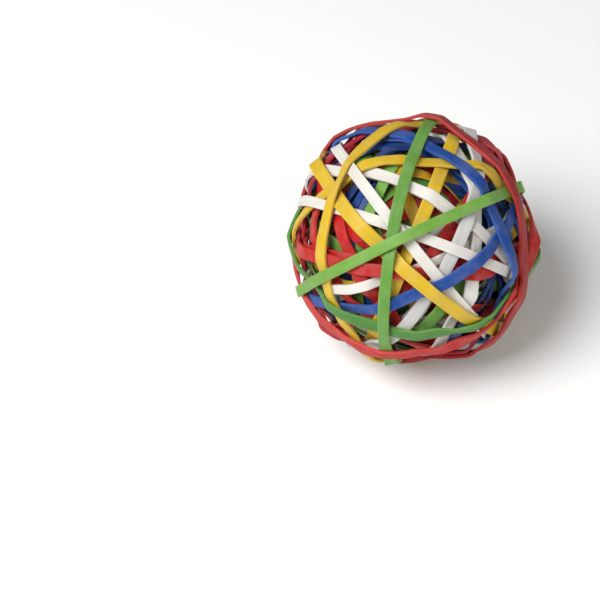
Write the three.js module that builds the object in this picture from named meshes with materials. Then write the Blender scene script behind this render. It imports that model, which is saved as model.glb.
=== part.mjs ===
// A rubber band ball: flat rubber bands stretched one after another round a ball of older, hidden windings.
// Every band is a closed loop in a plane close to the ball's centre. It is pulled taut, so it runs straight
// from one band that it crosses to the next, and it tilts where only one of its edges is held up.
// Millimetres and degrees, +Z up. The ball stands on z = 0, on a small flat spot that its weight presses.
import * as THREE from 'three';

const BALL_RADIUS = 36.8; // out to the bands in sight, on the average
const CORE_RADIUS = 31; // the hidden windings, taken as one solid
const KNOTS = 900; // directions in which the ball's height is felt before it is squeezed round
const KNOT_BLEND = 17; // degrees over which one knot fades into the next
const CORE_DETAIL = 5;
const MIDDLE_RADIUS = 37; // about half way up the outer bands
const BAND_WIDTH = 3.9; // a 4.3 mm band, narrower for being stretched
const BAND_THICKNESS = 0.95;
const DEEP_THICKNESS = 0.6; // squeezed thinner by the bands over it
const AIR_GAP = 0.16; // left under every band
const CORE_GAP = 0.3; // the same over the hidden windings, whose facets stand out a little
const FLAT_SPOT_DEPTH = 0.5;

const STATIONS = 40; // cross-sections round one loop
const DEEP_STATIONS = 32; // the same for a band that's mostly hidden
const STEPS_PER_SPAN = 12; // places between two cross-sections where what lies below is felt
const FEELERS = [-0.56, -0.48, -0.36, -0.24, -0.12, 0, 0.12, 0.24, 0.36, 0.48, 0.56]; // across, in widths
const EDGE = 0.495; // the last place across that is still the band's own
const FELT_EDGE = 0.56; // how far out a band is felt by those over it, a little past its own edge
const LIFT_PASSES = 14;
const LAST_LIFTS = 16;
const TAUT_PASSES = 60;

// The face that the band list describes looks along -Y. The ball rests with that face turned up by
// FACE_ELEVATION, where it stands on the bands round its lowest point.
const FACE_ELEVATION = 47;

const COLOURS = {
  green: 0x5fa63a,
  yellow: 0xf2c21c,
  white: 0xe9e2d6,
  blue: 0x2b4fa3,
  red: 0xc5302c,
};
const CORE_COLOUR = 0x3a2d2a;
const ROUGHNESS = 0.62;

// Bands put on last, the lowest of them first. heading and lean say where the loop's axis points, seen from
// in front of the face: heading runs anticlockwise from the right, and lean is towards the viewer.
// offset is how far along its axis the loop sits from the ball's centre.
const DEEP_BANDS = [
  { name: 'yellow_deep_upright', heading: -157, lean: 6, offset: 0 },
  { name: 'red_deep', heading: -116, lean: 30, offset: 0 },
  { name: 'green_deep', heading: -134, lean: 26, offset: 0 },
  { name: 'yellow_deep_arc', heading: -104, lean: 34, offset: 0 },
  { name: 'green_deep_left', heading: -19, lean: 24, offset: 0 },
  { name: 'blue_deep_left', heading: -23, lean: 38, offset: 0 },
  { name: 'white_deep_rise', heading: 124, lean: 6, offset: 0 },
  { name: 'green_low_level', heading: 68, lean: 22, offset: 0 },
  { name: 'green_low_rise', heading: 149, lean: 36, offset: 0 },
  { name: 'blue_low_right', heading: 179, lean: 47, offset: 0 },
  { name: 'white_bottom', heading: 148, lean: 27, offset: 0 },
  { name: 'yellow_right', heading: 102, lean: 22, offset: 0 },
  { name: 'red_upper_left', heading: 54, lean: 16, offset: 0 },
  { name: 'green_left_rim', heading: 0, lean: 83, offset: 0 },
  { name: 'blue_top_near', heading: -106, lean: 56, offset: 0 },
  { name: 'blue_top_right', heading: -154, lean: 47, offset: 0 },
  { name: 'blue_top_middle', heading: -41, lean: 44, offset: 0 },
  { name: 'blue_top_far', heading: -132, lean: 50, offset: 0 },
];
const OUTER_BANDS = [
  { name: 'red_left_inner', heading: 26, lean: 32, offset: 0 },
  { name: 'red_left_upright', heading: 34, lean: 49, offset: 0 },
  { name: 'red_left_level', heading: 89, lean: 12, offset: 0 },
  { name: 'red_right_slant', heading: 140, lean: 13, offset: 0 },
  { name: 'white_low_short', heading: 110, lean: 15, offset: 0 },
  { name: 'white_top_right', heading: 175, lean: 34, offset: 0 },
  { name: 'yellow_steep', heading: 158, lean: 1, offset: 0 },
  { name: 'red_top_rim', heading: -25, lean: 76, offset: 0 },
  { name: 'red_outer_rim', heading: 160, lean: 82, offset: 1.5 },
  { name: 'red_level', heading: 86, lean: 15, offset: -1 },
  { name: 'white_upper_slant', heading: -119, lean: 22, offset: 0 },
  { name: 'white_right_curve', heading: 154, lean: 22, offset: 0.5 },
  { name: 'yellow_arch', heading: -85, lean: 39, offset: -0.5 },
  { name: 'white_long_slant', heading: -110, lean: 4, offset: 1 },
  { name: 'white_middle_slant', heading: 39, lean: 2, offset: 0 },
  { name: 'blue_low_diagonal', heading: 118, lean: 26, offset: 0.5 },
  { name: 'blue_right_curve', heading: -144, lean: 42, offset: 0 },
  { name: 'yellow_diagonal', heading: 47, lean: 11, offset: -1 },
  { name: 'yellow_left_curve', heading: -13, lean: 45, offset: 1 },
  { name: 'green_low_arch', heading: 86, lean: 48, offset: -0.5 },
  { name: 'green_upright', heading: -10, lean: 11, offset: 1.5 },
  { name: 'red_low_rim', heading: 113, lean: 63, offset: 0 },
  { name: 'green_diagonal', heading: -65, lean: 2, offset: 0 },
  { name: 'red_right_rim', heading: -161, lean: 66, offset: 1 },
];
const BURIED_BANDS = 17;
const BURIED_CHOICES = 300; // axes tried for each buried band
const PROBES = 1500; // directions in which the bands passing over are counted

const FULL_TURN = 2 * Math.PI;
const radians = THREE.MathUtils.degToRad;

// The direction of a loop's axis, with the face square to -Y.
function axisOf(heading, lean) {
  const flat = Math.cos(radians(lean));
  const right = flat * Math.cos(radians(heading));
  const up = flat * Math.sin(radians(heading));
  return new THREE.Vector3(right, -Math.sin(radians(lean)), up);
}

// One stretched band. left and right hold how far each edge of its underside is from the ball's centre,
// at every cross-section round the loop.
class Band {
  constructor(name, axis, { offset, stations, thickness }) {
    this.name = name;
    this.axis = axis;
    this.thickness = thickness;
    this.latitude = Math.asin(offset / MIDDLE_RADIUS);
    this.start = new THREE.Vector3(0, 0, 1).cross(axis).normalize();
    this.quarter = axis.clone().cross(this.start);
    this.stations = stations;
    this.span = FULL_TURN / stations;
    this.left = new Array(stations).fill(CORE_RADIUS);
    this.right = new Array(stations).fill(CORE_RADIUS);
  }

  // The direction out from the ball's centre to the band's middle, and the direction across the band.
  frameAt(turn) {
    const spoke = this.start.clone().multiplyScalar(Math.cos(turn));
    spoke.addScaledVector(this.quarter, Math.sin(turn));
    const flat = Math.cos(this.latitude);
    const rise = Math.sin(this.latitude);
    const out = spoke.clone().multiplyScalar(flat).addScaledVector(this.axis, rise);
    const side = this.axis.clone().multiplyScalar(flat).addScaledVector(spoke, -rise);
    return { out, side };
  }

  pointAt(turn, height, share) {
    const { out, side } = this.frameAt(turn);
    return out.multiplyScalar(height).addScaledVector(side, share * BAND_WIDTH);
  }

  // Both edges of the underside, or of a face at some height above it, as points round the loop.
  rails(raise, edge = 0.5) {
    const rail = (heights, share) => heights.map((h, k) => this.pointAt(k * this.span, h + raise, share));
    return { left: rail(this.left, -edge), right: rail(this.right, edge) };
  }

  // How far a face is from the ball's centre in one direction, or 0 where the band doesn't pass.
  reach({ left, right }, direction) {
    if (Math.abs(direction.dot(this.axis) - Math.sin(this.latitude)) > BAND_WIDTH / MIDDLE_RADIUS) return 0;
    const turn = Math.atan2(direction.dot(this.quarter), direction.dot(this.start)) + FULL_TURN;
    const k = Math.floor(turn / this.span) % this.stations;
    const next = (k + 1) % this.stations;
    const ray = new THREE.Ray(new THREE.Vector3(), direction);
    const hit = new THREE.Vector3();
    const found = ray.intersectTriangle(left[k], right[k], right[next], false, hit)
      || ray.intersectTriangle(left[k], right[next], left[next], false, hit);
    return found ? hit.length() : 0;
  }

  // Winds the band over the core and every band below it.
  wind(below) {
    const places = this.placesOver(below, () => CORE_RADIUS);
    for (let pass = 0; pass < LIFT_PASSES; pass += 1) {
      this.lift(places);
      this.left = pulledTaut(this.left, this.span);
      this.right = pulledTaut(this.right, this.span);
    }
    for (let pass = 0; pass < LAST_LIFTS; pass += 1) this.lift(places);
    this.top = this.rails(this.thickness, FELT_EDGE);
  }

  // Gives way with the ball as it's squeezed round, but stays clear of every band below it.
  settle(below, squeeze) {
    const { left, right } = this.rails(0);
    this.left = this.left.map((height, k) => height * squeeze(left[k].normalize()));
    this.right = this.right.map((height, k) => height * squeeze(right[k].normalize()));
    const places = this.placesOver(below, (direction) => CORE_RADIUS * squeeze(direction));
    for (let pass = 0; pass < LAST_LIFTS; pass += 1) this.lift(places);
    this.top = this.rails(this.thickness, FELT_EDGE);
  }

  // Places all over the underside, each with how far from the ball's centre it has to be.
  placesOver(below, coreRadiusAt) {
    const places = [];
    for (let step = 0; step < this.stations * STEPS_PER_SPAN; step += 1) {
      const turn = ((step + 0.5) * this.span) / STEPS_PER_SPAN;
      FEELERS.forEach((share) => {
        const felt = this.pointAt(turn, MIDDLE_RADIUS, share).normalize();
        const reaches = below.map((band) => band.reach(band.top, felt));
        const need = Math.max(coreRadiusAt(felt), ...reaches) + AIR_GAP;
        const own = THREE.MathUtils.clamp(share, -EDGE, EDGE);
        const direction = this.pointAt(turn, need, own).normalize();
        places.push({ turn, share: own, direction, need });
      });
    }
    return places;
  }

  // Raises the cross-sections on both sides of every place where the underside is too low.
  lift(places) {
    const underside = this.rails(0);
    const raiseLeft = new Array(this.stations).fill(0);
    const raiseRight = new Array(this.stations).fill(0);
    places.forEach(({ turn, share, direction, need }) => {
      const reached = this.reach(underside, direction);
      if (!reached || reached >= need) return;
      const k = Math.floor(turn / this.span);
      const next = (k + 1) % this.stations;
      const along = turn / this.span - k;
      const corners = [
        { raise: raiseLeft, at: k, pull: (0.5 - share) * (1 - along) },
        { raise: raiseRight, at: k, pull: (0.5 + share) * (1 - along) },
        { raise: raiseLeft, at: next, pull: (0.5 - share) * along },
        { raise: raiseRight, at: next, pull: (0.5 + share) * along },
      ];
      const stiffness = corners.reduce((sum, { pull }) => sum + pull * pull, 0);
      corners.forEach(({ raise, at, pull }) => {
        raise[at] = Math.max(raise[at], (need - reached) * Math.min(1, pull / stiffness));
      });
    });
    this.left = this.left.map((h, k) => h + raiseLeft[k]);
    this.right = this.right.map((h, k) => h + raiseRight[k]);
  }
}

// The shortest loop outside these heights: no cross-section is left lower than the straight line between
// its neighbours.
function pulledTaut(heights, span) {
  const taut = [...heights];
  for (let pass = 0; pass < TAUT_PASSES; pass += 1) {
    taut.forEach((height, k) => {
      const before = taut.at(k - 1);
      const after = taut[(k + 1) % taut.length];
      taut[k] = Math.max(height, (2 * before * after * Math.cos(span)) / (before + after));
    });
  }
  return taut;
}

// Directions spread evenly over the ball.
function evenDirections(count) {
  const goldenAngle = Math.PI * (3 - Math.sqrt(5));
  return Array.from({ length: count }, (_, i) => {
    const z = 1 - (2 * i + 1) / count;
    const flat = Math.sqrt(1 - z * z);
    return new THREE.Vector3(flat * Math.cos(i * goldenAngle), flat * Math.sin(i * goldenAngle), z);
  });
}

// Axes for the buried bands: each goes where the fewest others pass, which is how a ball is kept round.
function buriedAxes(otherAxes) {
  const probes = evenDirections(PROBES).map((direction) => ({ direction, passing: 0 }));
  const isUnder = (direction, axis) => Math.abs(direction.dot(axis)) * MIDDLE_RADIUS < BAND_WIDTH;
  const under = (axis) => probes.filter(({ direction }) => isUnder(direction, axis));
  const count = (axis) => under(axis).forEach((probe) => { probe.passing += 1; });
  otherAxes.forEach(count);
  const choices = evenDirections(BURIED_CHOICES).map((axis) => ({ axis, crossed: under(axis) }));
  return Array.from({ length: BURIED_BANDS }, () => {
    const crowding = choices.map(({ crossed }) => {
      const squares = crossed.map(({ passing }) => passing ** 2);
      return squares.reduce((sum, square) => sum + square, 0) / crossed.length;
    });
    const { axis } = choices[crowding.indexOf(Math.min(...crowding))];
    count(axis);
    return axis;
  });
}

function allBands() {
  const listed = (list, make) => list.map(({ name, heading, lean, offset }) => ({
    colour: name.split('_')[0],
    band: new Band(`${name}_band`, axisOf(heading, lean), { offset, ...make }),
  }));
  const deep = { stations: DEEP_STATIONS, thickness: DEEP_THICKNESS };
  const outer = { stations: STATIONS, thickness: BAND_THICKNESS };
  const seen = [...listed(DEEP_BANDS, deep), ...listed(OUTER_BANDS, outer)];
  const colours = Object.keys(COLOURS);
  const buried = buriedAxes(seen.map(({ band }) => band.axis)).map((axis, i) => {
    const colour = colours[(i * 3) % colours.length];
    return { colour, band: new Band(`buried_${colour}_${i + 1}`, axis, { offset: 0, ...deep }) };
  });
  return [...buried, ...seen];
}

// How much the ball is squeezed or let out in one direction to come out round. The hidden windings and the
// crossings under the top bands give where they pile up, and fill out where they don't.
function squeezeOver(wound) {
  const knots = evenDirections(KNOTS).map((direction) => {
    const reaches = wound.map((band) => band.reach(band.top, direction));
    return { direction, height: Math.max(CORE_RADIUS, ...reaches) };
  });
  const edge = Math.cos(radians(KNOT_BLEND));
  return (direction) => {
    let sum = 0;
    let weights = 0;
    knots.forEach((knot) => {
      const weight = Math.max(0, direction.dot(knot.direction) - edge) ** 2;
      sum += weight * knot.height;
      weights += weight;
    });
    return (BALL_RADIUS * weights) / sum;
  };
}

// The band's solid: a closed ring with four corners at every cross-section.
function ringGeometry(band) {
  const bottom = band.rails(0);
  const top = band.rails(band.thickness);
  const positions = [];
  const faces = [];
  for (let k = 0; k < band.stations; k += 1) {
    positions.push(bottom.left[k], bottom.right[k], top.left[k], top.right[k]);
    const [lowLeft, lowRight, topLeft, topRight] = [0, 1, 2, 3].map((corner) => 4 * k + corner);
    const next = 4 * ((k + 1) % band.stations);
    const [lowLeft2, lowRight2, topLeft2, topRight2] = [0, 1, 2, 3].map((corner) => next + corner);
    faces.push(lowLeft, lowRight, lowRight2, lowLeft, lowRight2, lowLeft2);
    faces.push(topLeft, topRight2, topRight, topLeft, topLeft2, topRight2);
    faces.push(topLeft, lowLeft, lowLeft2, topLeft, lowLeft2, topLeft2);
    faces.push(lowRight, topRight, topRight2, lowRight, topRight2, lowRight2);
  }
  return new THREE.BufferGeometry().setFromPoints(positions).setIndex(faces);
}

function reshape(geometry, change) {
  const { position } = geometry.attributes;
  const point = new THREE.Vector3();
  for (let i = 0; i < position.count; i += 1) {
    change(point.fromBufferAttribute(position, i));
    position.setXYZ(i, point.x, point.y, point.z);
  }
  geometry.computeVertexNormals();
}

const bands = allBands();
const wound = bands.map(({ band }) => band);
wound.forEach((band, i) => band.wind(wound.slice(0, i)));
const squeeze = squeezeOver(wound);
wound.forEach((band, i) => band.settle(wound.slice(0, i), squeeze));

const core = new THREE.IcosahedronGeometry(1, CORE_DETAIL);
reshape(core, (point) => {
  const surface = CORE_RADIUS - CORE_GAP;
  point.setLength(surface * squeeze(point.clone().normalize()));
});
const pieces = [
  { name: 'inner_windings', colour: CORE_COLOUR, geometry: core },
  ...bands.map(({ colour, band }) => ({
    name: band.name,
    colour: COLOURS[colour],
    geometry: ringGeometry(band),
  })),
];
const across = new THREE.Vector3(1, 0, 0);
const turnedUp = (point) => point.applyAxisAngle(across, -radians(FACE_ELEVATION));
pieces.forEach(({ geometry }) => reshape(geometry, turnedUp));
const boxOf = ({ geometry }) => new THREE.Box3().setFromBufferAttribute(geometry.attributes.position);
const box = pieces.map(boxOf).reduce((all, one) => all.union(one));
const floor = box.min.z + FLAT_SPOT_DEPTH;
pieces.forEach(({ geometry }) => reshape(geometry, (point) => point.setZ(Math.max(point.z, floor))));

const ball = new THREE.Group();
pieces.forEach(({ name, colour, geometry }) => {
  const rubber = new THREE.MeshStandardMaterial({ color: colour, roughness: ROUGHNESS });
  const mesh = new THREE.Mesh(geometry, rubber);
  mesh.name = name;
  ball.add(mesh);
});
const middle = box.getCenter(new THREE.Vector3());
ball.position.set(-middle.x, -middle.y, -floor);

export default ball;
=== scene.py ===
import math
import random

import bpy
import numpy as np
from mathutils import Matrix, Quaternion, Vector
from mathutils.bvhtree import BVHTree


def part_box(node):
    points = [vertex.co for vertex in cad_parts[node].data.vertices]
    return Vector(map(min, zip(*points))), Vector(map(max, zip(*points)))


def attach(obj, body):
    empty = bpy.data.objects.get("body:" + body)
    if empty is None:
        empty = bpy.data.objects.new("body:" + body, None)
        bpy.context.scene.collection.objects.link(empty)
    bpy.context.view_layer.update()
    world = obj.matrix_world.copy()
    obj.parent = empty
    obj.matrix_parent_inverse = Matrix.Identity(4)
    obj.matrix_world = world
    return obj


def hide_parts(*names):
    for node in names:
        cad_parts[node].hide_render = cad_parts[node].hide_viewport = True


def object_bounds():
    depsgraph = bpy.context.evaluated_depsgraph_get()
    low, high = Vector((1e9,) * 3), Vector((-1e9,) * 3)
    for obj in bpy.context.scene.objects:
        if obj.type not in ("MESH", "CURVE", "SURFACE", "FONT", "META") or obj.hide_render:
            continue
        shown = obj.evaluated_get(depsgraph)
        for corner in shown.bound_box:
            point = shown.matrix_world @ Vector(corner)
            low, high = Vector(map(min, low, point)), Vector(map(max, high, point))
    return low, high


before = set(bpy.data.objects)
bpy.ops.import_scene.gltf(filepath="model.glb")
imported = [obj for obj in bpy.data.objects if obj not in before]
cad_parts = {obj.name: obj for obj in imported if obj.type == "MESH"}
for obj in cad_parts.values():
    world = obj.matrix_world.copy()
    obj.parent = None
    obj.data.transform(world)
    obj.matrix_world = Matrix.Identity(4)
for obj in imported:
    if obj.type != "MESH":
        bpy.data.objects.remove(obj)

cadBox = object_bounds()
mm = 0.001
fullTurn = 2 * math.pi
wind = random.Random(7)  # one stream for everything that is uneven from band to band

lowCorner, highCorner = (Vector(corner) for corner in cadBox)
ballCentre = (lowCorner + highCorner) / 2

view = {
    "elevation": 47.0,  # degrees above the table
    "distance": 595.0,  # mm
    "lens": 110.0,  # mm
    "sensor": 36.0,  # mm
    "ballRight": 36.8,  # mm that the ball stands to the right of the middle of the picture
    "ballAbove": 19.9,  # mm that it stands above it
}
studio = {
    "floorColour": "FBFBFA",
    "floorSize": 8.0,  # m
    "skyColour": "FFFFFF",
    "skyStrength": 0.25,
    "keyPower": 8.9,  # W
    "keySize": 0.6,  # m
    "keyPlace": (-0.42, -0.30, 0.72),  # m from the ball
    "fillPower": 2.8,
    "fillSize": 0.8,
    "fillPlace": (0.75, -0.65, 0.45),
}


def linearOf(hexColour):
    channels = [int(hexColour[i:i + 2], 16) / 255 for i in (0, 2, 4)]
    return [c / 12.92 if c <= 0.04045 else ((c + 0.055) / 1.055) ** 2.4 for c in channels] + [1.0]


def addNode(tree, kind, settings=None, links=None):
    # A setting is an input's name or number, or else a property of the node.
    node = tree.nodes.new(kind)
    for name, value in (settings or {}).items():
        if isinstance(name, int) or name in node.inputs:
            node.inputs[name].default_value = value
        else:
            setattr(node, name, value)
    for socket, source in (links or {}).items():
        tree.links.new(source, node.inputs[socket])
    return node


def newMaterial(name):
    material = bpy.data.materials.new(name)
    material.use_nodes = True
    material.node_tree.nodes.clear()
    return material, material.node_tree


def clearSelection():
    if bpy.context.mode != "OBJECT":
        bpy.ops.object.mode_set(mode="OBJECT")
    bpy.ops.object.select_all(action="DESELECT")


def placeCamera():
    level = Quaternion((1, 0, 0), math.radians(90 - view["elevation"]))
    aside = Quaternion((0, 1, 0), math.atan(view["ballRight"] / view["distance"]))
    down = Quaternion((1, 0, 0), -math.atan(view["ballAbove"] / view["distance"]))
    cameraData = bpy.data.cameras.new("camera")
    cameraData.lens = view["lens"]
    cameraData.sensor_width = view["sensor"]
    cameraData.clip_start, cameraData.clip_end = 0.02, 20  # m
    camera = bpy.data.objects.new("camera", cameraData)
    bpy.context.scene.collection.objects.link(camera)
    camera.rotation_mode = "QUATERNION"
    camera.location = ballCentre + level @ Vector((0, 0, view["distance"] * mm))
    camera.rotation_quaternion = level @ aside @ down
    bpy.context.scene.camera = camera


def placeFloor():
    clearSelection()
    bpy.ops.mesh.primitive_plane_add(size=studio["floorSize"], location=(0, 0, 0))
    floor = bpy.context.active_object
    floor.name = "studioFloor"
    paper, tree = newMaterial("matte pale paper")  # coated board, even and without gloss
    shader = addNode(tree, "ShaderNodeBsdfPrincipled", {
        "Base Color": linearOf(studio["floorColour"]), "Roughness": 0.9, "IOR": 1.45})
    addNode(tree, "ShaderNodeOutputMaterial", links={"Surface": shader.outputs[0]})
    floor.data.materials.append(paper)


def placeLights():
    for name in ("key", "fill"):
        lightData = bpy.data.lights.new(name, "AREA")
        lightData.shape = "DISK"
        lightData.energy = studio[name + "Power"]
        lightData.size = studio[name + "Size"]
        light = bpy.data.objects.new(name, lightData)
        bpy.context.scene.collection.objects.link(light)
        light.location = ballCentre + Vector(studio[name + "Place"])
        light.rotation_euler = (ballCentre - light.location).to_track_quat("-Z", "Y").to_euler()
    sky = bpy.data.worlds.new("studioSky")
    bpy.context.scene.world = sky
    sky.use_nodes = True
    background = sky.node_tree.nodes["Background"]
    background.inputs["Color"].default_value = linearOf(studio["skyColour"])
    background.inputs["Strength"].default_value = studio["skyStrength"]


placeCamera()
placeFloor()
placeLights()
bpy.context.scene.view_settings.view_transform = "Standard"
print("camera, floor and lights are in place")

# Each tone has the colour of its faces and the paler one painted on its cut edges as a highlight.
latex = {
    # painted light: a lighter copy of green for bands that face the key light
    "freshGreen": {"face": "6C9E3A", "edge": "94C25E", "slot": "green_rubber"},
    "green": {"face": "62943C", "edge": "86B860", "slot": "green_rubber"},
    # painted shade: a darker copy of green
    "deepGreen": {"face": "477F30", "edge": "6CA04E", "slot": "green_rubber"},
    "yellow": {"face": "D0AC20", "edge": "F0CC54", "slot": "yellow_rubber"},
    # painted shade: a darker, browner copy of yellow
    "goldenYellow": {"face": "BE9218", "edge": "E0B23C", "slot": "yellow_rubber"},
    "white": {"face": "D8D4CC", "edge": "EAE7E0", "slot": "white_rubber"},
    # painted shade: a grey copy of white for bands on the shaded lower right and in the depths
    "greyWhite": {"face": "C3C2C0", "edge": "D8D6D3", "slot": "white_rubber"},
    "blue": {"face": "1B4590", "edge": "3E67B2", "slot": "blue_rubber"},
    # painted shade: a darker copy of blue
    "deepBlue": {"face": "163570", "edge": "345298", "slot": "blue_rubber"},
    "red": {"face": "B41611", "edge": "C8463A", "slot": "red_rubber"},
    # painted shade: a darker copy of red, for the rim band
    "deepRed": {"face": "9C120E", "edge": "B43A30", "slot": "red_rubber"},
    "crimson": {"face": "A00A1E", "edge": "B23442", "slot": "red_rubber"},
}
latexFinish = {
    "roughness": (0.42, 0.60),  # where the talc lies thin, and where it lies thick
    "gloss": 0.27,  # specular level, low under the talc
    "dieLine": 0.38,  # mm from one line to the next, coarser than real, or it wouldn't show
    "dieLineLength": 14.0,  # mm
    "dieLineTone": (0.89, 1.05),  # share of the face's colour in a line and beside it
    "dieLineDepth": 0.06,  # mm
    "talcPatch": 5.0,  # mm
    "talcColour": "F3F2F0",
    "talc": 0.07,  # most that it pales the face
    "grain": 0.3,  # mm
    "grainDepth": 0.04,  # mm
    "cutPaleness": 0.55,  # most that a cut edge takes of the paler colour of its painted highlight
    "lightDepth": 0.6,  # mm that light goes into the rubber
}


def latexMaterial(tone, colours):
    # Natural rubber latex, extruded as a tube and cut into bands: satin faces with fine lengthwise lines from
    # the die, a little talc lying on them, and a highlight painted along the cut edges.
    finish = latexFinish
    material, tree = newMaterial(tone + " latex rubber")
    place = addNode(tree, "ShaderNodeAttribute", {"attribute_name": "hoopPlace"}).outputs["Vector"]
    # mask for the highlight painted along the cut edges
    edge = addNode(tree, "ShaderNodeAttribute", {"attribute_name": "cutEdge"}).outputs["Fac"]

    long, fine = 1 / finish["dieLineLength"], 1 / finish["dieLine"]
    along = addNode(tree, "ShaderNodeMapping", {"Scale": (long, long, fine)}, {"Vector": place})
    lines = addNode(tree, "ShaderNodeTexNoise", {"Scale": 1.0, "Detail": 3.0, "Roughness": 0.6},
                    {"Vector": along.outputs[0]}).outputs["Fac"]
    talc = addNode(tree, "ShaderNodeTexNoise", {
        "Scale": 1 / finish["talcPatch"], "Detail": 5.0, "Roughness": 0.62}, {"Vector": place}).outputs["Fac"]
    grain = addNode(tree, "ShaderNodeTexNoise", {"Scale": 1 / finish["grain"], "Detail": 2.0},
                    {"Vector": place}).outputs["Fac"]

    inLine, besideLine = finish["dieLineTone"]
    lineTone = addNode(tree, "ShaderNodeMapRange", {
        "From Min": 0.3, "From Max": 0.7, "To Min": inLine, "To Max": besideLine}, {"Value": lines})
    face = addNode(tree, "ShaderNodeMix", {
        "data_type": "RGBA", "blend_type": "MULTIPLY", 0: 1.0, 6: linearOf(colours["face"])},
        {7: lineTone.outputs[0]})
    talcAmount = addNode(tree, "ShaderNodeMapRange", {
        "From Min": 0.42, "From Max": 0.75, "To Min": 0.0, "To Max": finish["talc"]}, {"Value": talc})
    dusted = addNode(tree, "ShaderNodeMix", {"data_type": "RGBA", 7: linearOf(finish["talcColour"])},
                     {0: talcAmount.outputs[0], 6: face.outputs[2]})
    # painted highlight: near the cut edges the colour is mixed towards the paler edge colour
    edgeHighlightAmount = addNode(tree, "ShaderNodeMapRange", {
        "From Min": 0.2, "From Max": 0.9, "To Min": 0.0, "To Max": finish["cutPaleness"]}, {"Value": edge})
    colour = addNode(tree, "ShaderNodeMix", {"data_type": "RGBA", 7: linearOf(colours["edge"])},
                     {0: edgeHighlightAmount.outputs[0], 6: dusted.outputs[2]})

    bare, dusty = finish["roughness"]
    roughness = addNode(tree, "ShaderNodeMapRange", {
        "From Min": 0.3, "From Max": 0.7, "To Min": bare, "To Max": dusty}, {"Value": talc})
    lineBump = addNode(tree, "ShaderNodeBump", {"Strength": 0.28, "Distance": finish["dieLineDepth"] * mm},
                       {"Height": lines})
    grainBump = addNode(tree, "ShaderNodeBump", {"Strength": 0.25, "Distance": finish["grainDepth"] * mm},
                        {"Height": grain, "Normal": lineBump.outputs[0]})
    shader = addNode(tree, "ShaderNodeBsdfPrincipled", {
        "IOR": 1.52, "Specular IOR Level": finish["gloss"], "Subsurface Weight": 0.12,
        "Subsurface Radius": (1.0, 0.6, 0.4), "Subsurface Scale": finish["lightDepth"] * mm},
        {"Base Color": colour.outputs[2], "Roughness": roughness.outputs[0], "Normal": grainBump.outputs[0]})
    addNode(tree, "ShaderNodeOutputMaterial", links={"Surface": shader.outputs[0]})
    return material


materials = {tone: latexMaterial(tone, colours) for tone, colours in latex.items()}
print("latex mixed in", len(materials), "tones")

band = {
    "radius": 40.0,  # mm, of the plain hoop before it is stretched over anything
    "width": 3.9,
    "thickness": 0.95,
    "cutRounding": 0.13,  # mm, on the four long edges
    "roundingSteps": 2,
    "sharpAngle": 60,  # degrees, from which an edge is rounded
    "smoothAngle": 40,  # degrees, up to which the shading runs on over an edge
    "paleEdge": 0.156,  # mm in from a cut edge that its own colour fades out
    "outerSections": 240,
    "outerCuts": 3,  # lines of points along it, between its two edges
    "innerSections": 168,
    # mm in from a cut edge over which the painted highlight fades out
    "innerCuts": 1,
    "underfill": 0.12,  # mm that the underside swells towards what it lies on
    "softBend": 1.0,  # mm over which a bend is spread, as the width of a bell curve
    "bendReach": 3.2,  # mm at which that curve is cut off
    "sway": 0.16,  # mm sideways
    "swayWaves": range(2, 9),  # waves of the sway in a turn
    "curl": 0.10,  # mm that the long edges lift or droop
    "curlWaves": range(3, 16),
    "patternShift": 400,  # mm, most that the pattern is moved on a band, so that no two share a stretch of it
    "deeperShare": 0.5,  # of the buried bands that are in their colour's darker tone, as painted shade
    "widthSpread": 0.05,  # share
    "widthShare": {  # of the bands that are cut or stretched to another width
        "yellow_diagonal_band": 1.14, "yellow_steep_band": 1.1, "yellow_left_curve_band": 0.93,
        "green_diagonal_band": 0.94, "green_upright_band": 0.96, "blue_low_diagonal_band": 0.95,
        "white_long_slant_band": 0.88, "white_middle_slant_band": 0.88, "white_upper_slant_band": 0.9,
        "white_low_short_band": 0.8,
    },
}


def plainHoop(name, sections, acrossCuts, roundEdges):
    clearSelection()
    bpy.ops.mesh.primitive_cylinder_add(vertices=sections, radius=band["radius"] * mm,
                                        depth=band["width"] * mm, end_fill_type="NOTHING", location=(0, 0, 0))
    hoop = bpy.context.active_object
    hoop.name = name
    bpy.ops.object.mode_set(mode="EDIT")
    bpy.ops.mesh.select_mode(type="EDGE")  # in vertex mode the short edges would select the long ones too
    bpy.ops.mesh.select_all(action="DESELECT")
    bpy.ops.object.mode_set(mode="OBJECT")
    for edge in hoop.data.edges:
        low, high = (hoop.data.vertices[i].co.z for i in edge.vertices)
        edge.select = abs(low - high) > 0.5 * band["width"] * mm
    bpy.ops.object.mode_set(mode="EDIT")
    bpy.ops.mesh.subdivide(number_cuts=acrossCuts)
    bpy.ops.object.mode_set(mode="OBJECT")
    wall = hoop.modifiers.new("wall", "SOLIDIFY")
    wall.thickness = band["thickness"] * mm
    wall.offset = -1
    wall.use_even_offset = True
    bpy.ops.object.modifier_apply(modifier=wall.name)
    if roundEdges:
        rounding = hoop.modifiers.new("rounding", "BEVEL")
        rounding.width = band["cutRounding"] * mm
        rounding.segments = band["roundingSteps"]
        rounding.limit_method = "ANGLE"
        rounding.angle_limit = math.radians(band["sharpAngle"])
        bpy.ops.object.modifier_apply(modifier=rounding.name)
    bpy.ops.object.shade_smooth_by_angle(angle=math.radians(band["smoothAngle"]))
    return hoop


def hoopShares(hoop):
    # where each point of a plain hoop lies: in mm, round the hoop, up through the wall and across it
    points = np.empty(len(hoop.data.vertices) * 3)
    hoop.data.vertices.foreach_get("co", points)
    points = points.reshape(-1, 3) / mm
    turn = np.arctan2(points[:, 1], points[:, 0]) % fullTurn
    out = np.hypot(points[:, 0], points[:, 1])
    rise = (out - (band["radius"] - band["thickness"])) / band["thickness"]
    across = points[:, 2] / band["width"]
    return points, turn, np.clip(rise, 0, 1), across


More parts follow.
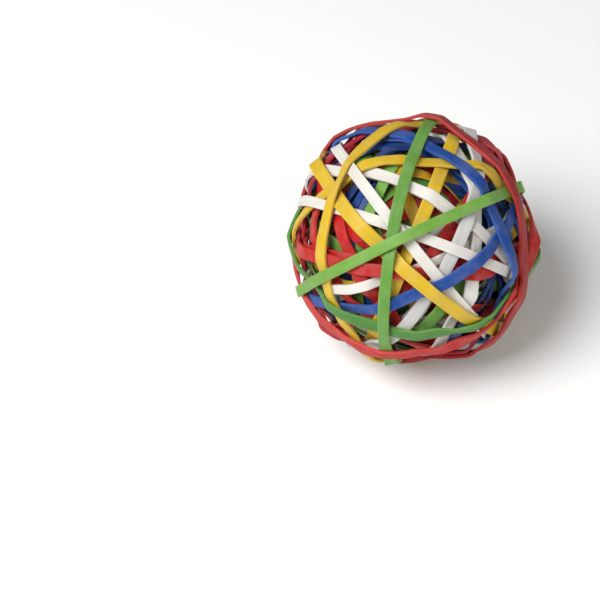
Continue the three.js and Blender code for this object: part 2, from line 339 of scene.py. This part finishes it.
outerHoop = plainHoop("plainBand", band["outerSections"], band["outerCuts"], True)
innerHoop = plainHoop("plainInnerBand", band["innerSections"], band["innerCuts"], False)
print("plain bands have", len(outerHoop.data.polygons), "and", len(innerHoop.data.polygons), "faces")


def cadStations(node):
    # A CAD band is a ring of four-cornered sections. They are put in order round its axis, each as its left
    # low, left top, right low and right top corner.
    raw = np.empty(len(node.data.vertices) * 3)
    node.data.vertices.foreach_get("co", raw)
    corners = np.unique(np.round(raw.reshape(-1, 3), 7), axis=0)
    middle = corners.mean(axis=0)
    axis = np.linalg.svd(corners - middle, full_matrices=False)[2][2]
    start = np.cross(axis, (0.0, 0.0, 1.0))
    start /= np.linalg.norm(start)
    quarter = np.cross(axis, start)
    spokes = corners - middle
    turn = np.arctan2(spokes @ quarter, spokes @ start) % fullTurn
    order = np.argsort(turn)
    gaps = np.diff(np.append(turn[order], turn[order][0] + fullTurn))
    order = np.roll(order, -(int(np.argmax(gaps)) + 1))  # so that no section is split at the start
    stations = []
    for group in order.reshape(-1, 4):
        byAxis = group[np.argsort(spokes[group] @ axis)]
        section = []
        for pair in (byAxis[:2], byAxis[2:]):
            reach = np.linalg.norm(spokes[pair] - np.outer(spokes[pair] @ axis, axis), axis=1)
            low, top = pair[np.argsort(reach)]
            section += [corners[low], corners[top]]
        stations.append(section)
    return np.array(stations)


def softRoute(stations, count):
    # straight from one section to the next, then each bend spread over a short length
    number = len(stations)
    places = np.arange(count) * number / count
    first = np.floor(places).astype(int)
    part = (places - first)[:, None, None]
    route = stations[first % number] * (1 - part) + stations[(first + 1) % number] * part
    step = fullTurn * band["radius"] / count
    reach = int(math.ceil(band["bendReach"] / step))
    weights = np.exp(-0.5 * (np.arange(-reach, reach + 1) * step / band["softBend"]) ** 2)
    weights /= weights.sum()
    return sum(w * np.roll(route, -k, axis=0) for k, w in zip(range(-reach, reach + 1), weights))


def ripple(turn, size, waves):
    total = np.zeros_like(turn)
    for k in waves:
        total += wind.uniform(-1, 1) * np.cos(k * turn + wind.uniform(0, fullTurn))
    return size * total / math.sqrt(len(waves))


def lay(hoop, shares, name, route, widthShare=1.0):
    # a copy of the plain hoop, with each of its sections moved to one section of the route
    points, turn, rise, across = shares
    piece = hoop.copy()
    piece.data = hoop.data.copy()
    piece.name = name
    piece.data.name = name
    bpy.context.scene.collection.objects.link(piece)
    at = np.rint(turn / fullTurn * len(route)).astype(int) % len(route)
    leftLow, leftTop, rightLow, rightTop = (route[at, corner] for corner in range(4))
    share = (across * widthShare * (1 + wind.uniform(-1, 1) * band["widthSpread"]) + 0.5)[:, None]
    low = leftLow * (1 - share) + rightLow * share
    thick = leftTop * (1 - share) + rightTop * share - low
    up = thick / np.linalg.norm(thick, axis=1)[:, None]
    side = rightLow - leftLow
    side /= np.linalg.norm(side, axis=1)[:, None]
    placed = low + thick * rise[:, None]
    placed -= up * ((1 - rise) * band["underfill"] * mm)[:, None]
    sway = ripple(turn, band["sway"] * mm, band["swayWaves"])
    curl = ripple(turn, band["curl"] * mm, band["curlWaves"]) * (2 * across) ** 2
    placed += side * sway[:, None] + up * curl[:, None]
    placed[:, 2] = np.maximum(placed[:, 2], lowCorner.z)
    piece.data.vertices.foreach_set("co", placed.ravel())
    most = band["patternShift"]
    storeAttributes(piece, points + np.array([wind.uniform(-most, most) for _ in range(3)]), across)
    piece.data.update()
    return piece


def storeAttributes(piece, places, across):
    hoopPlace = piece.data.attributes.new("hoopPlace", "FLOAT_VECTOR", "POINT")
    hoopPlace.data.foreach_set("vector", places.ravel())
    # mask of nearness to a cut edge, where the highlight is painted
    fromEdge = (0.5 - np.abs(across)) * band["width"]
    cutEdge = piece.data.attributes.new("cutEdge", "FLOAT", "POINT")
    cutEdge.data.foreach_set("value", np.clip(1 - fromEdge / band["paleEdge"], 0, 1))


toneOf = {  # of the bands that aren't in their colour's plain tone; the lighter and darker copies are painted light and shade
    "green_diagonal_band": "freshGreen", "green_deep_left_band": "freshGreen",
    "green_low_arch_band": "deepGreen", "green_deep_band": "deepGreen",
    "yellow_deep_arc_band": "goldenYellow", "yellow_deep_upright_band": "goldenYellow",
    "white_right_curve_band": "greyWhite", "white_deep_rise_band": "greyWhite",
    "blue_top_middle_band": "deepBlue", "blue_low_right_band": "deepBlue",
    "red_right_rim_band": "deepRed", "red_deep_band": "crimson",
    "red_outer_rim_band": "crimson", "red_top_rim_band": "crimson",
}
# painted shade: each colour's darker copy, for bands that lie deep among the others
shadedTone = {"green": "deepGreen", "yellow": "goldenYellow", "white": "greyWhite", "blue": "deepBlue",
              "red": "crimson"}


def toneFor(node):
    colour = next(word for word in node.split("_") if word in shadedTone)
    if node in toneOf:
        return toneOf[node]
    # half the buried bands are given painted shade
    isShaded = node.startswith("buried") and wind.random() < band["deeperShare"]
    return shadedTone[colour] if isShaded else colour


def finishPiece(piece, tone):
    piece.data.materials.clear()
    piece.data.materials.append(materials[tone])
    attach(piece, "root")


outerShares = hoopShares(outerHoop)
bandNodes = sorted(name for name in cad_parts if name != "inner_windings")
for name in bandNodes:
    words = name.replace("_band", "").split("_")
    pieceName = words[0] + "".join(word.capitalize() for word in words[1:])
    route = softRoute(cadStations(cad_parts[name]), band["outerSections"])
    piece = lay(outerHoop, outerShares, pieceName, route, band["widthShare"].get(name, 1.0))
    finishPiece(piece, toneFor(name))
    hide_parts(name)
print(len(bandNodes), "bands laid over the ball")

innerShares = hoopShares(innerHoop)
windingsLow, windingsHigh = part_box("inner_windings")
windingsCentre = (Vector(windingsLow) + Vector(windingsHigh)) / 2


def treeOf(objects):
    corners, faces = [], []
    for thing in objects:
        first = len(corners)
        corners += [tuple(v.co) for v in thing.data.vertices]
        faces += [tuple(first + i for i in p.vertices) for p in thing.data.polygons]
    return BVHTree.FromPolygons(corners, faces)


inner = {
    "count": 64,
    "startRadius": 24.0,  # mm, on the older windings inside
    "middleRadius": 27.0,  # mm, half way up from there
    "thickness": 0.8,
    "stations": 120,
    "perStation": 12,  # places from one station to the next at which a band feels what is under it
    "feelers": 13,  # places across it
    "feelersPerEdge": 8,  # of them, that hold up one edge
    "pulls": 400,  # times that a band is pulled taut
    "clearance": 0.25,  # mm left under the bands over them
    "rows": 240,  # of the map of heights
    "heartDetail": 5,  # times that the ball of old windings is subdivided
}


def cellOf(directions):
    # the row and column of each direction on the map of heights
    rows, columns = inner["rows"], 2 * inner["rows"]
    tilt = np.arccos(np.clip(directions[..., 2], -1, 1))
    row = np.clip((tilt / math.pi * rows).astype(int), 0, rows - 1)
    heading = np.arctan2(directions[..., 1], directions[..., 0])
    return row, (heading / fullTurn * columns).astype(int) % columns


def tautRail(below):
    # one edge of a band over what it feels, pulled straight between the places that hold it up
    number = inner["stations"]
    span = fullTurn / number
    most = below.max(axis=1).reshape(number, inner["perStation"]).max(axis=1)
    rail = np.maximum(most, np.roll(most, 1)) / math.cos(span / 2)
    for _ in range(inner["pulls"]):
        before, after = np.roll(rail, 1), np.roll(rail, -1)
        rail = np.maximum(rail, 2 * before * after * math.cos(span) / (before + after))
    return rail


def windInner():
    # A map of heights over all directions; each band is pulled taut over it and then raises it.
    heights = np.full((inner["rows"], 2 * inner["rows"]), inner["startRadius"])
    number = inner["stations"]
    fine = inner["perStation"] * number
    turns = np.arange(fine) * fullTurn / fine
    acrosses = np.linspace(-0.5, 0.5, inner["feelers"]) * band["width"]
    routes = []
    for i in range(inner["count"]):
        axis = np.array([wind.gauss(0, 1) for _ in range(3)])
        axis /= np.linalg.norm(axis)
        start = np.cross(axis, [wind.gauss(0, 1) for _ in range(3)])
        start /= np.linalg.norm(start)
        quarter = np.cross(axis, start)
        spokes = np.outer(np.cos(turns), start) + np.outer(np.sin(turns), quarter)
        felt = spokes[:, None, :] * inner["middleRadius"] + acrosses[None, :, None] * axis
        felt /= np.linalg.norm(felt, axis=2)[..., None]
        row, column = cellOf(felt)
        below = heights[row, column]
        rails = [tautRail(below[:, :inner["feelersPerEdge"]]), tautRail(below[:, -inner["feelersPerEdge"]:])]
        left, right = (np.interp(np.arange(fine) / inner["perStation"], np.arange(number + 1),
                                 np.append(rail, rail[0])) for rail in rails)
        share = (acrosses / band["width"] + 0.5)[None, :]
        tops = left[:, None] * (1 - share) + right[:, None] * share + inner["thickness"]
        np.maximum.at(heights, (row, column), tops)
        corners = []
        for rail, side in zip(rails, (-0.5, 0.5)):
            for height in (rail, rail + inner["thickness"]):
                corners.append(spokes[::inner["perStation"]] * height[:, None] + side * band["width"] * axis)
        routes.append(np.stack(corners, axis=1))
    return routes, heights.max()


def shapeToCore(points, core, highest):
    # The windings take the outline that the CAD core has under the outer bands.
    shaped = np.empty_like(points.reshape(-1, 3))
    for i, point in enumerate(points.reshape(-1, 3)):
        direction = Vector(point / np.linalg.norm(point))
        surface = (core.ray_cast(windingsCentre, direction)[0] - windingsCentre).length / mm
        shaped[i] = point * (surface - inner["clearance"]) / highest
    return shaped.reshape(points.shape) * mm + np.array(windingsCentre)


def innerWindings():
    core = treeOf([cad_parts["inner_windings"]])
    routes, highest = windInner()
    # all inner windings are in the darker tones, as painted shade in the depths
    tones = list(shadedTone.values())
    for i, route in enumerate(routes):
        soft = softRoute(shapeToCore(route, core, highest), band["innerSections"])
        piece = lay(innerHoop, innerShares, f"innerBand{i + 1}", soft)
        finishPiece(piece, tones[i % len(tones)])
    clearSelection()
    bpy.ops.mesh.primitive_ico_sphere_add(subdivisions=inner["heartDetail"], radius=1)
    heart = bpy.context.active_object  # what the inner bands were wound over
    heart.name = "oldWindings"
    points = np.array([tuple(v.co.normalized()) for v in heart.data.vertices]) * inner["startRadius"]
    heart.data.vertices.foreach_set("co", shapeToCore(points, core, highest).ravel())
    storeAttributes(heart, points, np.zeros(len(points)))
    finishPiece(heart, "crimson")
    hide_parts("inner_windings")
    bpy.ops.object.shade_smooth()


innerWindings()
print("inner windings wound")

middle = {
    "count": 50,
    "offset": 5.0,  # mm that a band may lie off the ball's middle
    "thickness": 0.7,
    "stations": 200,
    "feelers": 5,  # lines across a band along which it feels for others
    "feelersReach": 0.45,  # share of the width that they reach to either side
    "lowest": 27.0,  # mm from the ball's middle
    "highest": 40.0,
    "step": 0.15,  # mm from one height to the next that is tried
    "hop": 0.01,  # mm past a face before the next is felt for
    "under": 0.45,  # mm that its top stays below the top of a band that it goes under
    "over": 0.3,  # mm that its top stands over the top of a band that it goes over
    "cutCost": 1.2,  # of each line on which it would cut a band
    "depthCost": 0.26,  # of a millimetre below the highest
    "climbCost": 0.15,  # of a step up or down from one station to the next, squared
    "steepest": 3,  # most such steps at once
    # darker tones only: painted shade for the bands deep in the ball
    "tones": ("deepGreen", "goldenYellow", "deepBlue", "crimson", "deepRed"),
    "ownTone": {"middleBand38": "crimson"},  # it cuts through two red bands, and shows least in their colour
}


def topsAlong(tree, start, spoke):
    # the heights in mm at which a line outwards leaves the bands of a tree
    tops, travelled = [], 0.0
    while True:
        hit, normal, _, length = tree.ray_cast(start + spoke * travelled, spoke)
        if hit is None:
            return tops
        travelled += length + middle["hop"] * mm
        if normal.dot(spoke) > 0:
            tops.append(travelled / mm)


def cutsAt(trees, starts, spoke, ownTops):
    # For each height that is tried, the lines on which a band would cut another. It goes under every band that
    # shows on the ball, and under the topmost of the buried ones, but over or under the rest.
    cuts = np.zeros(len(ownTops))
    for start in starts:
        shown = topsAlong(trees[0], start, spoke)
        others = [top for tree in trees[1:] for top in topsAlong(tree, start, spoke)]
        cut = np.zeros(len(ownTops), dtype=bool)
        for top in others:
            cut |= (ownTops > top - middle["under"]) & (ownTops < top + middle["over"])
        if shown:
            cut |= ownTops > min(shown) - middle["under"]
        elif others:
            cut |= ownTops > max(others) - middle["under"]
        cuts += cut
    return cuts


def cheapestRound(costs):
    # the height to take at each station, for the least cost all the way round
    number, choices = costs.shape
    places = np.arange(choices)
    moves = range(-middle["steepest"], middle["steepest"] + 1)
    best, came = costs[0], []
    for i in range(1, 3 * number):  # three times round, and the middle one meets itself
        options = np.full((len(moves), choices), np.inf)
        for option, move in zip(options, moves):
            inside = (places + move >= 0) & (places + move < choices)
            option[inside] = best[places[inside] + move] + middle["climbCost"] * move ** 2
        came.append(options.argmin(axis=0))
        best = options.min(axis=0) + costs[i % number]
    path = [int(best.argmin())]
    for chosen in reversed(came):
        path.append(path[-1] + moves[chosen[path[-1]]])
    return path[::-1][number:2 * number]


def threadBand(trees, centre, axis, spokes):
    heights = np.arange(middle["lowest"], middle["highest"], middle["step"])
    reach = middle["feelersReach"] * band["width"] * mm
    starts = [centre + axis * float(across) for across in np.linspace(-reach, reach, middle["feelers"])]
    cuts = np.array([cutsAt(trees, starts, spoke, heights + middle["thickness"]) for spoke in spokes])
    depths = middle["highest"] - heights
    height = heights[cheapestRound(middle["cutCost"] * cuts + middle["depthCost"] * depths)]
    outwards = np.array([tuple(spoke) for spoke in spokes])
    corners = []
    for side in (-0.5, 0.5):
        edge = np.array(centre + axis * (side * band["width"] * mm))
        for rise in (0, middle["thickness"]):
            corners.append(edge + outwards * ((height + rise) * mm)[:, None])
    return np.stack(corners, axis=1)


def middleWindings():
    # Bands threaded through the hollows that the taut outer bands leave over the inner ones.
    trees = [treeOf(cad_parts[name] for name in bandNodes if name.startswith("buried") == buried)
             for buried in (False, True)]
    turns = [fullTurn * k / middle["stations"] for k in range(middle["stations"])]
    for i in range(middle["count"]):
        axis = Vector([wind.gauss(0, 1) for _ in range(3)]).normalized()
        start = axis.orthogonal().normalized()
        quarter = axis.cross(start)
        spokes = [start * math.cos(turn) + quarter * math.sin(turn) for turn in turns]
        offset = wind.uniform(-1, 1) * middle["offset"] * mm
        route = threadBand(trees, windingsCentre + axis * offset, axis, spokes)
        piece = lay(innerHoop, innerShares, f"middleBand{i + 1}", softRoute(route, band["innerSections"]))
        tone = wind.choice(middle["tones"])
        finishPiece(piece, middle["ownTone"].get(piece.name, tone))
        trees.append(treeOf([piece]))


middleWindings()
print("middle windings threaded")

for hoop in (outerHoop, innerHoop):
    bpy.data.objects.remove(hoop)
